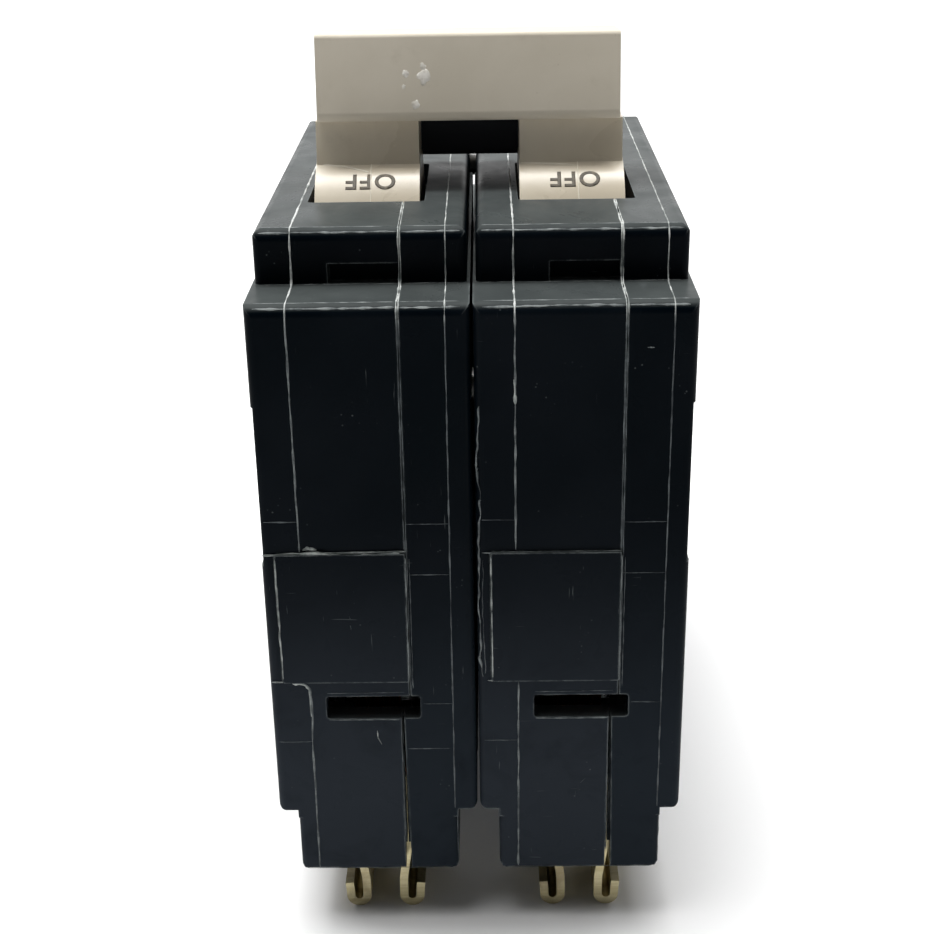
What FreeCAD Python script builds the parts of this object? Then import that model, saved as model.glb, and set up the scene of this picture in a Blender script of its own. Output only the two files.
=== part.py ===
import FreeCAD, Part
import math
import os

# Two-pole moulded-case circuit breaker, plug-on type.
# Local frame of each pole: x from the pole's centre plane, y from the line-end
# face towards the load end, z from the shoulder (ledge) of the case.
# Part frame: X across the poles, Y from line end to load end, Z up,
# origin at the centre of the footprint, on the surface the breaker stands on.

# ---------------------------------------------------------------- dimensions
PITCH = 19.05            # pole pitch
POLE_W = 18.80           # width of one pole
UP_W = 18.30             # width of the raised front of one pole
Y_END = 75.85            # load-end face
PAD_T = 0.35             # thickness of the pad on the line-end face
Z_TOP = 4.78             # raised front above the shoulder
STEP_Y = 6.3             # depth of the shoulder at the line end
Y_TOP_END = 57.0         # end of the raised front
SHELF_Z = -7.5           # terminal shelf
FOOT_Z = -56.62          # underside of the line foot
NOTCH_Z = -49.74         # where the line foot narrows
FOOT_HW = 7.58           # half width of the line foot
FOOT_Y = 12.5            # depth of the line foot
GROUND_Z = -62.5         # tips of the jaws, underside of the load foot
BELLY_Z = -51.5          # underside between the feet
WALL_X = 1.7             # side wall
V2 = 3.41                # parting plane of base and cover
V2_LOW = 2.67            # the same below the arc vent
SEAM = 0.10              # seam between the shells
SEAM_LOW = 0.22          # open seam below the arc vent
OPEN_HW = 5.3            # handle opening, half width
OPEN_Y0, OPEN_Y1 = 16.0, 31.4
PIV_Y, PIV_Z = 23.7, 0.0  # handle pivot
DRUM_R = 7.75
DRUM_HW = 4.8
TRUN_R, TRUN_HOLE_R = 2.0, 2.06
THROW = 36.0             # handle, OFF to ON, degrees
LEAN = 10.0              # lean of the handle's front face in OFF, degrees
ARM_Y, ARM_Z = 23.7, -13.5
ARM_TURN = 33.0          # contact arm, closed to open, degrees
PIN_R = 1.0
ARM_BORE_R = 1.05
CONTACT_Z = -27.0
STRAP_Y = 4.6            # line strap, near face
CONTACT_Y = 7.32         # plane of the closed contacts
TERM_Y, WIRE_Z = 66.0, -24.6
WIRE_R = 3.2
SCREW_R = 2.35
DRIVER_R = 3.6
JAW_X = 0.20             # jaw centre from the pole centre
JAW_Y0, JAW_Y1 = 2.0, 10.6
STRIP_T = 0.8
BAR_X0, BAR_X1 = -14.0, 13.65      # handle tie, in the part frame
TIE_Z = 11.05                      # lower edge of the handle tie
TIE_END = 0.45                     # thickness of the tie's end walls
HANDLE_DX = {1: 0.0, 2: -0.30}     # each handle's float in its opening
RIVETS = [(11.0, -11.0), (50.0, 0.9), (33.0, -42.0), (66.0, -43.5)]
TRIPBAR_Y, TRIPBAR_Z = 45.5, -33.0
LEVER_Y, LEVER_Z = 41.0, -6.0
ARMATURE_Y, ARMATURE_Z = 51.5, -8.0

Y_SHIFT = -(Y_END - PAD_T) / 2.0
Z_SHIFT = -GROUND_Z
V = FreeCAD.Vector
HW = POLE_W / 2.0
POLES = {1: -PITCH / 2.0, 2: PITCH / 2.0}


# ---------------------------------------------------------------- helpers
def box(x0, x1, y0, y1, z0, z1):
    return Part.makeBox(x1 - x0, y1 - y0, z1 - z0, V(x0, y0, z0))


def cyl(axis, cx, cy, cz, r, a, b):
    """Cylinder along x, y or z from a to b; the centre's own axis value is ignored."""
    if axis == "x":
        return Part.makeCylinder(r, b - a, V(a, cy, cz), V(1, 0, 0))
    if axis == "y":
        return Part.makeCylinder(r, b - a, V(cx, a, cz), V(0, 1, 0))
    return Part.makeCylinder(r, b - a, V(cx, cy, a), V(0, 0, 1))


def to3(plane, u, v, w):
    if plane == "yz":
        return V(w, u, v)
    if plane == "xz":
        return V(u, w, v)
    return V(u, v, w)


def rface(plane, pts, w):
    """Face of a closed polygon whose corners are (u, v, radius)."""
    n = len(pts)
    data = []
    for i in range(n):
        u, v = pts[i][0], pts[i][1]
        r = pts[i][2] if len(pts[i]) > 2 else 0.0
        pu, pv = pts[i - 1][0], pts[i - 1][1]
        nu, nv = pts[(i + 1) % n][0], pts[(i + 1) % n][1]
        if r <= 0:
            data.append(((u, v), None, (u, v)))
            continue
        a = (pu - u, pv - v)
        b = (nu - u, nv - v)
        la, lb = math.hypot(*a), math.hypot(*b)
        a = (a[0] / la, a[1] / la)
        b = (b[0] / lb, b[1] / lb)
        cosang = max(-1.0, min(1.0, a[0] * b[0] + a[1] * b[1]))
        ang = math.acos(cosang)
        t = r / math.tan(ang / 2.0)
        p1 = (u + a[0] * t, v + a[1] * t)
        p2 = (u + b[0] * t, v + b[1] * t)
        m = (a[0] + b[0], a[1] + b[1])
        lm = math.hypot(*m)
        d = r / math.sin(ang / 2.0)
        mid = (u + m[0] / lm * (d - r), v + m[1] / lm * (d - r))
        data.append((p1, mid, p2))
    edges = []
    for i in range(n):
        p1, mid, p2 = data[i]
        if mid is not None:
            edges.append(Part.Arc(to3(plane, p1[0], p1[1], w), to3(plane, mid[0], mid[1], w),
                                  to3(plane, p2[0], p2[1], w)).toShape())
        q = data[(i + 1) % n][0]
        if math.hypot(q[0] - p2[0], q[1] - p2[1]) > 1e-6:
            edges.append(Part.makeLine(to3(plane, p2[0], p2[1], w), to3(plane, q[0], q[1], w)))
    return Part.Face(Part.Wire(edges))


def prism(plane, pts, w0, w1):
    f = rface(plane, pts, w0)
    d = {"yz": V(w1 - w0, 0, 0), "xz": V(0, w1 - w0, 0), "xy": V(0, 0, w1 - w0)}[plane]
    return f.extrude(d)


def rect(u0, u1, v0, v1, r00=0.0, r10=0.0, r11=0.0, r01=0.0):
    return [(u0, v0, r00), (u1, v0, r10), (u1, v1, r11), (u0, v1, r01)]


def strip(plane, line, t, w0, w1):
    """Bent sheet-metal strip: a centre line of (u, v) points, thickness t."""
    n = len(line)
    left, right = [], []
    for i in range(n):
        a = line[max(0, i - 1)]
        b = line[min(n - 1, i + 1)]
        c = line[i]
        def unit(p, q):
            d = math.hypot(q[0] - p[0], q[1] - p[1])
            return ((q[0] - p[0]) / d, (q[1] - p[1]) / d)
        if i == 0:
            t1 = t2 = unit(c, b)
        elif i == n - 1:
            t1 = t2 = unit(a, c)
        else:
            t1, t2 = unit(a, c), unit(c, b)
        n1, n2 = (-t1[1], t1[0]), (-t2[1], t2[0])
        m = (n1[0] + n2[0], n1[1] + n2[1])
        k = 2.0 / (m[0] * m[0] + m[1] * m[1])
        off = (m[0] * k * t / 2.0, m[1] * k * t / 2.0)
        left.append((c[0] + off[0], c[1] + off[1]))
        right.append((c[0] - off[0], c[1] - off[1]))
    return prism(plane, left + right[::-1], w0, w1)


def arc_pts(cu, cv, r, a0, a1, n):
    return [(cu + r * math.cos(math.radians(a0 + (a1 - a0) * i / n)),
             cv + r * math.sin(math.radians(a0 + (a1 - a0) * i / n))) for i in range(n + 1)]


def bar2(plane, p, q, width, w0, w1, r=0.0):
    """Straight bar from p to q of the given width."""
    d = math.hypot(q[0] - p[0], q[1] - p[1])
    t = ((q[0] - p[0]) / d, (q[1] - p[1]) / d)
    nn = (-t[1] * width / 2.0, t[0] * width / 2.0)
    pts = [(p[0] + nn[0], p[1] + nn[1], r), (q[0] + nn[0], q[1] + nn[1], r),
           (q[0] - nn[0], q[1] - nn[1], r), (p[0] - nn[0], p[1] - nn[1], r)]
    return prism(plane, pts, w0, w1)


def fuse(*s):
    out = s[0]
    for k in s[1:]:
        out = out.fuse(k)
    return out.removeSplitter()


def cut(a, *s):
    for k in s:
        a = a.cut(k)
    return a


NODES = {}


def put(name, shape, pole=None):
    s = shape.copy()
    dx = POLES[pole] if pole else 0.0
    s.translate(V(dx, Y_SHIFT, Z_SHIFT))
    NODES[name] = s


# ---------------------------------------------------------------- case
def case_outer(pole):
    side = -1 if pole == 1 else 1
    # lower housing: shoulder, line-end wall, belly, load end with rail slot and foot
    prof = [(0.0, -50.6, 0.0), (0.0, 0.0, 1.0), (STEP_Y + 3, 0.0, 0.0), (STEP_Y + 3, 2.0, 0.0),
            (Y_TOP_END - 2, 2.0, 0.0), (Y_TOP_END - 2, SHELF_Z, 0.0), (Y_END, SHELF_Z, 1.2),
            (Y_END, -50.4, 0.8), (69.5, -50.4, 0.5), (69.5, -55.0, 0.5), (74.5, -55.0, 0.8),
            (74.5, GROUND_Z, 1.0), (63.8, GROUND_Z, 1.0), (60.4, BELLY_Z, 1.5),
            (FOOT_Y, BELLY_Z, 0.0), (FOOT_Y, -50.6, 0.0)]
    low = prism("yz", prof, -HW, HW)
    low = low.common(prism("xy", rect(-HW, HW, 0.0, Y_END, 0.8, 0.8, 0.8, 0.8), GROUND_Z - 1, Z_TOP))
    # the shoulder's side edges and the corners where the line foot narrows
    low = low.cut(box(-HW - 1, -FOOT_HW, -1, FOOT_Y, GROUND_Z - 1, NOTCH_Z))
    low = low.cut(box(FOOT_HW, HW + 1, -1, FOOT_Y, GROUND_Z - 1, NOTCH_Z))
    for sx in (-1, 1):
        x0, x1 = sorted((sx * HW, sx * (HW - 0.6)))
        # rounded lower corner of the side strip
        k = box(x0, x1, -1, FOOT_Y, NOTCH_Z, NOTCH_Z + 0.6).cut(
            cyl("y", sx * (HW - 0.6), 0, NOTCH_Z + 0.6, 0.6, -1, FOOT_Y))
        low = low.cut(k)
    # line foot
    foot = prism("xz", rect(-FOOT_HW, FOOT_HW, FOOT_Z, -49.0, 0.9, 0.9), 0.0, FOOT_Y)
    foot = foot.common(prism("yz", rect(0.0, FOOT_Y, FOOT_Z, -49.0, 0.5, 0.8), -HW, HW))
    foot = foot.common(prism("xy", rect(-FOOT_HW, FOOT_HW, 0.0, FOOT_Y, 0.6, 0.6), -60, -48))
    # raised front
    uw = UP_W / 2.0
    up = prism("yz", [(STEP_Y, -3.0, 0), (STEP_Y, Z_TOP, 1.0), (Y_TOP_END, Z_TOP, 3.2), (Y_TOP_END, SHELF_Z - 0.5, 0),
                      (Y_TOP_END - 4, SHELF_Z - 0.5, 0), (Y_TOP_END - 4, -3.0, 0)], -uw, uw)
    up = up.common(prism("xz", rect(-uw, uw, SHELF_Z - 1, Z_TOP, 0, 0, 0.8, 0.8), 0, Y_END))
    up = up.common(prism("xy", rect(-uw, uw, STEP_Y, Y_TOP_END, 0.6, 0.6, 0.8, 0.8), SHELF_Z - 1, Z_TOP + 1))
    low = low.cut(box(-HW - 1, -uw + 0.0, -1, Y_END, 0.0, 3)).cut(box(uw, HW + 1, -1, Y_END, 0.0, 3))
    body = low.fuse(up).fuse(foot)
    # pad on the line-end face
    pad = prism("xz", rect(-8.15, V2, -35.67, -22.67, 0.25, 0.0, 0.0, 0.25), -PAD_T, 1.0)
    body = body.fuse(pad).removeSplitter()
    # label recess in the outer side
    xs = sorted((side * (HW - 0.22), side * (HW + 1)))
    body = body.cut(box(xs[0], xs[1], -1, 54.0, -24.0, -9.0))
    # parting recess beside the seam, low on the raised front
    body = body.cut(box(-2.8, V2, STEP_Y - 1, STEP_Y + 1.1, -0.001, 1.8))
    return body


def case_hollow(body, pole):
    side = -1 if pole == 1 else 1
    iw = HW - WALL_X
    body = cut(body,
               box(-iw, iw, 2.0, 56.0, -47.5, -2.0),
               box(-iw, iw, 8.3, 54.6, -2.5, 2.6),
               box(-5.9, 5.9, 1.6, 11.2, FOOT_Z - 1, -47.0),
               box(-6.4, 6.4, 58.0, 73.8, -38.0, -9.5),
               # slot for the load strap, wire way, screwdriver way
               box(-3.4, 3.4, 55.5, 58.5, -30.2, -28.0),
               cyl("y", 0, 0, WIRE_Z, WIRE_R, 70, 80),
               cyl("z", 0, TERM_Y, 0, DRIVER_R, -12, 0),
               # handle opening
               prism("xy", rect(-OPEN_HW, OPEN_HW, OPEN_Y0, OPEN_Y1, 0.4, 0.4, 0.4, 0.4), 0.0, 6.0),
               # arc vent
               prism("xz", rect(-4.31, 4.32, -39.66, -37.32, 0.3, 0.3, 0.3, 0.3), -1.0, 3.0))
    # bosses: handle bearings, contact-arm pin, lever and armature pins, rivets
    bosses = []
    for sx in (-1, 1):
        a, b = sorted((sx * (iw + 0.2), sx * 5.3))
        bosses.append(cyl("x", 0, PIV_Y, PIV_Z, 3.1, a, b))
        a, b = sorted((sx * (iw + 0.2), sx * 5.0))
        bosses.append(cyl("x", 0, ARM_Y, ARM_Z, 2.4, a, b))
        a, b = sorted((sx * (iw + 0.2), sx * 6.2))
        bosses.append(cyl("x", 0, LEVER_Y, LEVER_Z, 2.2, a, b))
        bosses.append(cyl("x", 0, ARMATURE_Y, ARMATURE_Z, 2.0, a, b))
    for (ry, rz) in RIVETS[:3]:
        bosses.append(cyl("x", 0, ry, rz, 2.6, -iw - 0.2, iw + 0.2))
    for k in bosses:
        body = body.fuse(k)
    body = body.removeSplitter()
    holes = [cyl("x", 0, PIV_Y, PIV_Z, TRUN_HOLE_R, -7.2, 7.2),
             cyl("x", 0, ARM_Y, ARM_Z, PIN_R, -8.4, 8.4),
             cyl("x", 0, LEVER_Y, LEVER_Z, 1.06, -8.4, 8.4),
             cyl("x", 0, ARMATURE_Y, ARMATURE_Z, 1.06, -8.4, 8.4)]
    for (ry, rz) in RIVETS:
        holes.append(cyl("x", 0, ry, rz, 1.55, -12, 12))
        xs = sorted((side * (HW - 1.0), side * (HW + 1)))
        holes.append(cyl("x", 0, ry, rz, 3.0, xs[0], xs[1]))
    # way for the common trip bar through the inner wall
    xs = sorted((-side * (iw - 0.5), -side * (HW + 1)))
    holes.append(cyl("x", 0, TRIPBAR_Y, TRIPBAR_Z, 2.4, xs[0], xs[1]))
    # bearing of the trip bar in the outer wall
    xs = sorted((side * (iw - 0.5), side * (iw + 0.8)))
    holes.append(cyl("x", 0, TRIPBAR_Y, TRIPBAR_Z, 1.36, xs[0], xs[1]))
    return cut(body, *holes)


def split_case(body):
    big = 200.0
    s, sl = SEAM / 2.0, SEAM_LOW / 2.0
    jog = -38.4
    left = box(-20, V2 - s, -5, 90, jog, 20).fuse(box(-20, V2_LOW - s, -5, 90, GROUND_Z - 2, jog))
    right = box(V2 + s, 20, -5, 90, jog, 20).fuse(box(V2_LOW + s, 20, -5, 90, GROUND_Z - 2, jog))
    base = body.common(left)
    cover = body.common(right)
    # the seam stands open below the vent, widening towards the foot
    gap = prism("xz", [(V2_LOW - sl, -39.5, 0), (V2_LOW + sl, -39.5, 0), (V2_LOW + 0.34, -56.0, 0),
                       (V2_LOW + 0.34, FOOT_Z - 1, 0), (V2_LOW - 0.22, FOOT_Z - 1, 0), (V2_LOW - 0.22, -52.0, 0)],
                -1.0, 1.0)
    mouth = box(V2_LOW - 0.22, V2_LOW + 0.34, -1.0, 1.61, FOOT_Z - 1, -54.2)
    base = base.cut(gap).cut(mouth)
    cover = cover.cut(gap).cut(mouth)
    return base, cover


# ---------------------------------------------------------------- handle
def stem_profile(grow=0.0):
    """Side profile of the toggle above the drum, in OFF."""
    k = math.tan(math.radians(LEAN))
    def front(z):
        return 20.68 + (z - 7.14) * k
    return [(front(3.0) + 1.5, 3.0), (front(7.14), 7.14), (front(17.4), 17.4), (28.6, 17.2), (30.2, 9.0), (30.2, 3.0)]


def stem_block(pole):
    """Toggle above the drum, necked in on its outer side where the tie's end wall passes it."""
    hw = DRUM_HW - 0.06
    s = prism("yz", [(p[0], p[1], 0.0) for p in stem_profile()], -hw, hw)
    if pole == 1:
        neck = box(-hw - 1, BAR_X0 + TIE_END - POLES[1] - HANDLE_DX[1], 10, 40, TIE_Z, 30)
    else:
        neck = box(BAR_X1 - TIE_END - POLES[2] - HANDLE_DX[2], hw + 1, 10, 40, TIE_Z, 30)
    return s.cut(neck)


def handle(pole):
    dx = HANDLE_DX[pole]
    drum = cyl("x", 0, PIV_Y, PIV_Z, DRUM_R, -DRUM_HW, DRUM_HW)
    # the drum is open below: only its upper shell and a web remain
    drum = drum.cut(box(-9, 9, 0, 60, -12, -3.6))
    body = drum.fuse(stem_block(pole))
    # drive leg with an open notch for the contact arm's tail, leaning with the handle
    leg = prism("yz", [(-3.3, -7.45, 0.5), (3.3, -7.45, 0.5), (3.3, 0, 0), (-3.3, 0, 0)], -3.4, 3.4)
    notch = prism("yz", [(-1.85, -11, 0), (1.85, -11, 0), (1.85, -4.4, 1.3), (-1.85, -4.4, 1.3)], -4, 4)
    leg = leg.cut(notch)
    leg.rotate(V(0, 0, 0), V(1, 0, 0), -THROW / 2.0)
    leg.translate(V(0, PIV_Y, PIV_Z))
    notch.rotate(V(0, 0, 0), V(1, 0, 0), -THROW / 2.0)
    notch.translate(V(0, PIV_Y, PIV_Z))
    body = body.fuse(leg).cut(notch)
    body = body.removeSplitter()
    body.translate(V(dx, 0, 0))
    for sx in (-1, 1):
        a, b = sorted((sx * 3.0, sx * 7.0))
        body = body.fuse(cyl("x", 0, PIV_Y, PIV_Z, TRUN_R, a, b))
    # sockets for the black link at the rear of the inner side
    s = 1 if pole == 1 else -1
    a, b = sorted((dx + s * (DRUM_HW + 1), dx + s * (DRUM_HW - 1.6)))
    body = body.cut(cyl("x", 0, 28.6, 8.0, 1.1, a, b))
    return body.removeSplitter()


def tie():
    """Cap over both toggles, hollow between them."""
    k = math.tan(math.radians(LEAN))
    zb = TIE_Z
    prof = [(20.0, zb, 0.8), (20.0 + 7.71 * k, zb + 7.71, 0.35), (20.0 + 7.71 * k + 8.2, zb + 7.71 - 0.62, 0.6),
            (30.9, zb, 0.8)]
    cap = prism("yz", prof, BAR_X0, BAR_X1)
    cap = cap.common(prism("xz", rect(BAR_X0, BAR_X1, zb - 1, zb + 9, 0.3, 0.3, 0.3, 0.3), 10, 40))
    cap = cap.common(prism("xy", rect(BAR_X0, BAR_X1, 10, 40, 0, 0, 0, 0), zb - 1, zb + 9))
    for p in (1, 2):
        pocket = stem_block(p)
        pocket.translate(V(HANDLE_DX[p] + POLES[p], 0, 0))
        cap = cap.cut(pocket)
    # hollow between the toggles
    inner = prism("yz", [(21.4, zb - 1, 0), (21.4 + 7.5 * k, zb + 6.4, 0.6), (28.4, zb + 6.2, 0.6), (29.6, zb - 1, 0)],
                  -3.3, 2.9)
    return cap.cut(inner)


def link():
    """Black insulating link between the toggles, low at their rear."""
    x0 = POLES[1] + HANDLE_DX[1] + DRUM_HW - 0.06
    x1 = POLES[2] + HANDLE_DX[2] - DRUM_HW + 0.06
    b = prism("yz", [(27.0, 6.6, 0.5), (32.6, 6.0, 0.5), (32.0, 10.0, 0.6), (27.0, 10.4, 0.5)], x0, x1)
    b = b.fuse(cyl("x", 0, 28.6, 8.0, 1.1, x0 - 1.5, x1 + 1.5))
    return b.removeSplitter()


# ---------------------------------------------------------------- contact arm
def turned(shape, deg):
    s = shape.copy()
    s.rotate(V(0, ARM_Y, ARM_Z), V(1, 0, 0), deg)
    return s


def arm():
    """Moving contact arm, drawn closed and turned to its open rest position."""
    hw = 1.6
    hub = cyl("x", 0, ARM_Y, ARM_Z, 2.7, -2.6, 2.6)
    pad = prism("yz", rect(CONTACT_Y + 1.28, CONTACT_Y + 3.28, CONTACT_Z - 2.4, CONTACT_Z + 2.6, 0.6, 0.6, 0.6, 0.6),
                -hw, hw)
    limb = prism("yz", [(CONTACT_Y + 1.98, CONTACT_Z + 2.0), (CONTACT_Y + 2.98, CONTACT_Z - 2.0),
                        (ARM_Y - 6.0, ARM_Z - 7.6),
                        (ARM_Y + 1.6, ARM_Z - 1.9), (ARM_Y - 1.8, ARM_Z + 1.6)], -hw, hw)
    # tail up to the handle's notch, pointing to the ON side when closed
    a = math.radians(16.5)
    tip = (ARM_Y + 7.4 * math.sin(a), ARM_Z + 7.4 * math.cos(a))
    tail = bar2("yz", (ARM_Y, ARM_Z), tip, 1.9, -hw, hw).fuse(cyl("x", 0, tip[0], tip[1], 1.1, -hw, hw))
    s = fuse(hub, pad, limb, tail)
    s = s.cut(cyl("x", 0, ARM_Y, ARM_Z, ARM_BORE_R, -5, 5))
    return turned(s, ARM_TURN)


def moving_contact():
    return turned(cyl("y", 0, 0, CONTACT_Z, 1.9, CONTACT_Y, CONTACT_Y + 1.28), ARM_TURN)


def coil(p, q, radius, wire, turns, x):
    """Extension spring from p to q (y, z) in the plane x: stacked rings and a hook at each end."""
    d = V(0, q[0] - p[0], q[1] - p[1])
    length = d.Length
    u = V(d)
    u.normalize()
    c0 = V(x, p[0], p[1])
    inner0, inner1 = length * 0.18, length * 0.82
    pitch = (inner1 - inner0) / turns
    h = Part.makeHelix(pitch, inner1 - inner0, radius)
    prof = Part.Wire(Part.makeCircle(wire, V(radius, 0, 0), V(0, 1, 0)))
    s = Part.Wire(h.Edges).makePipeShell([prof], True, True)
    s = Part.Solid(s) if s.ShapeType != "Solid" else s
    rot = FreeCAD.Rotation(V(0, 0, 1), u)
    s.Placement = FreeCAD.Placement(c0 + u * inner0, rot)
    return s


# ---------------------------------------------------------------- line side
def leaf(sx):
    """One jaw leaf: bowed strip with its lip rolled outwards, drawn for sx = +1 and mirrored."""
    c = STRIP_T / 2.0
    pts = [(1.75 + c, -47.5), (1.9 + c, -49.0), (2.2 + c, -51.5), (2.1 + c, -54.5), (1.75 + c, -57.0),
           (1.45 + c, -59.2), (1.42 + c, -60.4)]
    # rolled lip: down, around and up on the outer side
    r = 0.80
    cx, cz = 1.42 + c + r, GROUND_Z + r + c
    pts += [(1.42 + c, cz + 0.15)]
    pts += arc_pts(cx, cz, r, 180, 360, 14)
    pts += [(cx + r + 0.04, cz + 0.9), (cx + r + 0.10, cz + 1.5)]
    s = strip("xz", pts, STRIP_T, JAW_Y0, JAW_Y1)
    if sx < 0:
        s = s.mirror(V(0, 0, 0), V(1, 0, 0))
    s.translate(V(JAW_X, 0, 0))
    return s


def line_strap():
    s = box(-2.2, 2.2, STRAP_Y, STRAP_Y + 1.0, -46.5, -23.6)
    s = s.fuse(box(-2.6, 2.6, STRAP_Y, STRAP_Y + 1.0, -30.2, -23.6))
    s = s.fuse(box(JAW_X - 2.55, JAW_X + 2.55, 2.4, 10.6, -47.5, -46.5))
    return s.removeSplitter()


def jaw_clip():
    """Steel C clip that presses the leaves together."""
    pts = [(2.72, -54.6), (3.55, -53.2), (3.75, -50.0), (3.6, -46.4), (3.0, -45.4)]
    line = [(JAW_X + p[0] + 0.45, p[1]) for p in pts] + [(JAW_X - p[0] - 0.45, p[1]) for p in pts[::-1]]
    return strip("xz", line, 0.7, 5.9, 10.3)


def arc_plates():
    out = []
    for i in range(5):
        z = -31.5 - 2.6 * i
        p = box(-6.3, 6.3, 6.8, 14.2, z, z + 0.9)
        p = p.cut(box(-2.8, 2.8, 8.5, 15, z - 1, z + 2))
        out.append(p)
    return Part.makeCompound(out)


def arc_walls():
    return Part.makeCompound([box(-7.5, -6.35, 6.4, 14.8, -43.6, -29.6), box(6.35, 7.5, 6.4, 14.8, -43.6, -29.6)])


# ---------------------------------------------------------------- trip unit
def lever():
    """Releasable lever: pivot eye, arm and latch nose."""
    s = fuse(cyl("x", 0, LEVER_Y, LEVER_Z, 2.3, -6.0, -3.4),
             bar2("yz", (LEVER_Y, LEVER_Z), (46.6, -18.6), 3.0, -5.4, -4.2, 0.6),
             box(-5.4, 1.2, 45.2, 48.6, -19.9, -18.7),
             bar2("yz", (LEVER_Y, LEVER_Z), (34.2, -8.4), 2.6, -5.4, -4.2, 0.6))
    s = fuse(s, cyl("x", 0, LEVER_Y, LEVER_Z, 1.0, -7.6, -3.4), cyl("x", 0, LEVER_Y, LEVER_Z, 1.0, -3.6, 7.6))
    return s


def armature():
    s = fuse(box(-2.9, 2.9, 51.0, 51.9, -30.5, -7.2), cyl("x", 0, ARMATURE_Y, ARMATURE_Z, 1.0, -7.6, 7.6))
    return s.cut(box(-2.0, 2.0, 50.0, 52.5, -21.5, -17.6))


def yoke():
    s = box(-4.2, 4.2, 52.9, 55.4, -28.4, -14.0)
    return s.cut(box(-3.2, 3.2, 52.0, 54.5, -30, -13))


def bimetal():
    return box(-2.5, 2.5, 53.1, 53.8, -42.0, -11.0)


def load_strap():
    s = strip("yz", [(54.3, -42.6), (54.3, -29.1), (70.2, -29.1)], 1.0, -3.0, 3.0)
    s = s.fuse(box(-3.0, 3.0, 50.6, 54.8, -43.6, -42.6))
    s = s.fuse(box(-3.0, 3.0, 53.8, 54.8, -43.0, -41.0))
    return s.removeSplitter().cut(cyl("z", 0, 51.9, 0, 0.9, -45, -41))


def calibration_screw():
    return fuse(cyl("z", 0, 51.9, 0, 0.9, -43.6, -39.6), cyl("z", 0, 51.9, 0, 1.5, -44.8, -43.6).cut(
        box(-2, 2, 51.7, 52.1, -45, -44.3)))


def braid():
    """Flexible conductor from beside the contact arm to the foot of the bimetal."""
    r = 0.9
    a, b, c, d = V(4.0, 28.5, -17.5), V(4.0, 36.0, -24.0), V(4.0, 46.5, -39.0), V(4.0, 52.4, -39.0)
    pts = [a, b, c, d]
    segs = []
    radii = 6.0
    last = pts[0]
    for i in range(1, len(pts) - 1):
        p, q, n = pts[i - 1], pts[i], pts[i + 1]
        u = (p - q); u.normalize()
        w = (n - q); w.normalize()
        ang = u.getAngle(w)
        t = radii / math.tan(ang / 2.0)
        p1 = q + u * t
        p2 = q + w * t
        m = u + w; m.normalize()
        mid = q + m * (radii / math.sin(ang / 2.0) - radii)
        segs.append(Part.makeLine(last, p1))
        segs.append(Part.Arc(p1, mid, p2).toShape())
        last = p2
    segs.append(Part.makeLine(last, pts[-1]))
    path = Part.Wire(segs)
    d0 = pts[1] - pts[0]
    prof = Part.Wire(Part.makeCircle(r, pts[0], d0))
    s = path.makePipeShell([prof], True, False)
    return Part.Solid(s) if s.ShapeType != "Solid" else s


def trip_bar():
    """Common trip bar through both poles, with a finger at each armature."""
    s = cyl("x", 0, TRIPBAR_Y, TRIPBAR_Z, 1.3, POLES[1] - 7.7 - 0.55, POLES[2] + 7.7 + 0.55)
    for p in (1, 2):
        s = s.fuse(box(POLES[p] - 2.0, POLES[p] + 2.0, TRIPBAR_Y, 50.3, TRIPBAR_Z - 0.1, TRIPBAR_Z + 1.3)
                   .translated(V(0, 0, 0)))
        s = s.fuse(box(POLES[p] - 2.0, POLES[p] + 2.0, 49.3, 50.3, TRIPBAR_Z - 0.1, -28.4))
    return s.removeSplitter()


# ---------------------------------------------------------------- load terminal
def lug():
    s = prism("xz", rect(-5.2, 5.2, -31.4, -16.0, 0.8, 0.8, 0.8, 0.8), 61.6, 70.4)
    s = s.cut(prism("xz", rect(-4.0, 4.0, -29.6, -18.6, 0.6, 0.6, 0.6, 0.6), 60, 72))
    return s.cut(cyl("z", 0, TERM_Y, 0, SCREW_R + 0.06, -20, -14))


def pressure_plate():
    s = prism("xy", rect(-3.5, 3.5, 62.4, 69.6, 0.8, 0.8, 0.8, 0.8), -20.7, -19.5)
    return s.cut(cyl("z", 0, TERM_Y, 0, 1.26, -22, -18))


def terminal_screw():
    head = cyl("z", 0, TERM_Y, 0, 3.1, -12.9, -10.5)
    slot = box(-3.5, 3.5, TERM_Y - 0.45, TERM_Y + 0.45, -11.7, -10)
    cross = box(-0.45, 0.45, TERM_Y - 2.0, TERM_Y + 2.0, -11.7, -10)
    s = fuse(head, cyl("z", 0, TERM_Y, 0, SCREW_R, -19.4, -12.9), cyl("z", 0, TERM_Y, 0, 1.2, -20.9, -19.4),
             cyl("z", 0, TERM_Y, 0, 1.8, -21.3, -20.8))
    return s.cut(slot).cut(cross)


# ---------------------------------------------------------------- whole
def rivets():
    out = []
    for (ry, rz) in RIVETS:
        L = PITCH / 2.0 + HW
        s = fuse(cyl("x", 0, ry, rz, 1.5, -L + 0.3, L - 0.3),
                 cyl("x", 0, ry, rz, 2.6, -L + 0.25, -L + 0.95),
                 cyl("x", 0, ry, rz, 2.6, L - 0.95, L - 0.25))
        s = s.cut(cyl("x", 0, ry, rz, 0.95, -L - 1, -L + 2.2)).cut(cyl("x", 0, ry, rz, 0.95, L - 2.2, L + 1))
        out.append(s)
    return Part.makeCompound(out)


def side_label():
    x1 = PITCH / 2.0 + HW - 0.22 + 0.12
    return prism("yz", rect(14.5, 47.0, -23.2, -9.8, 0.8, 0.8, 0.8, 0.8), x1 - 0.12, x1)


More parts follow.
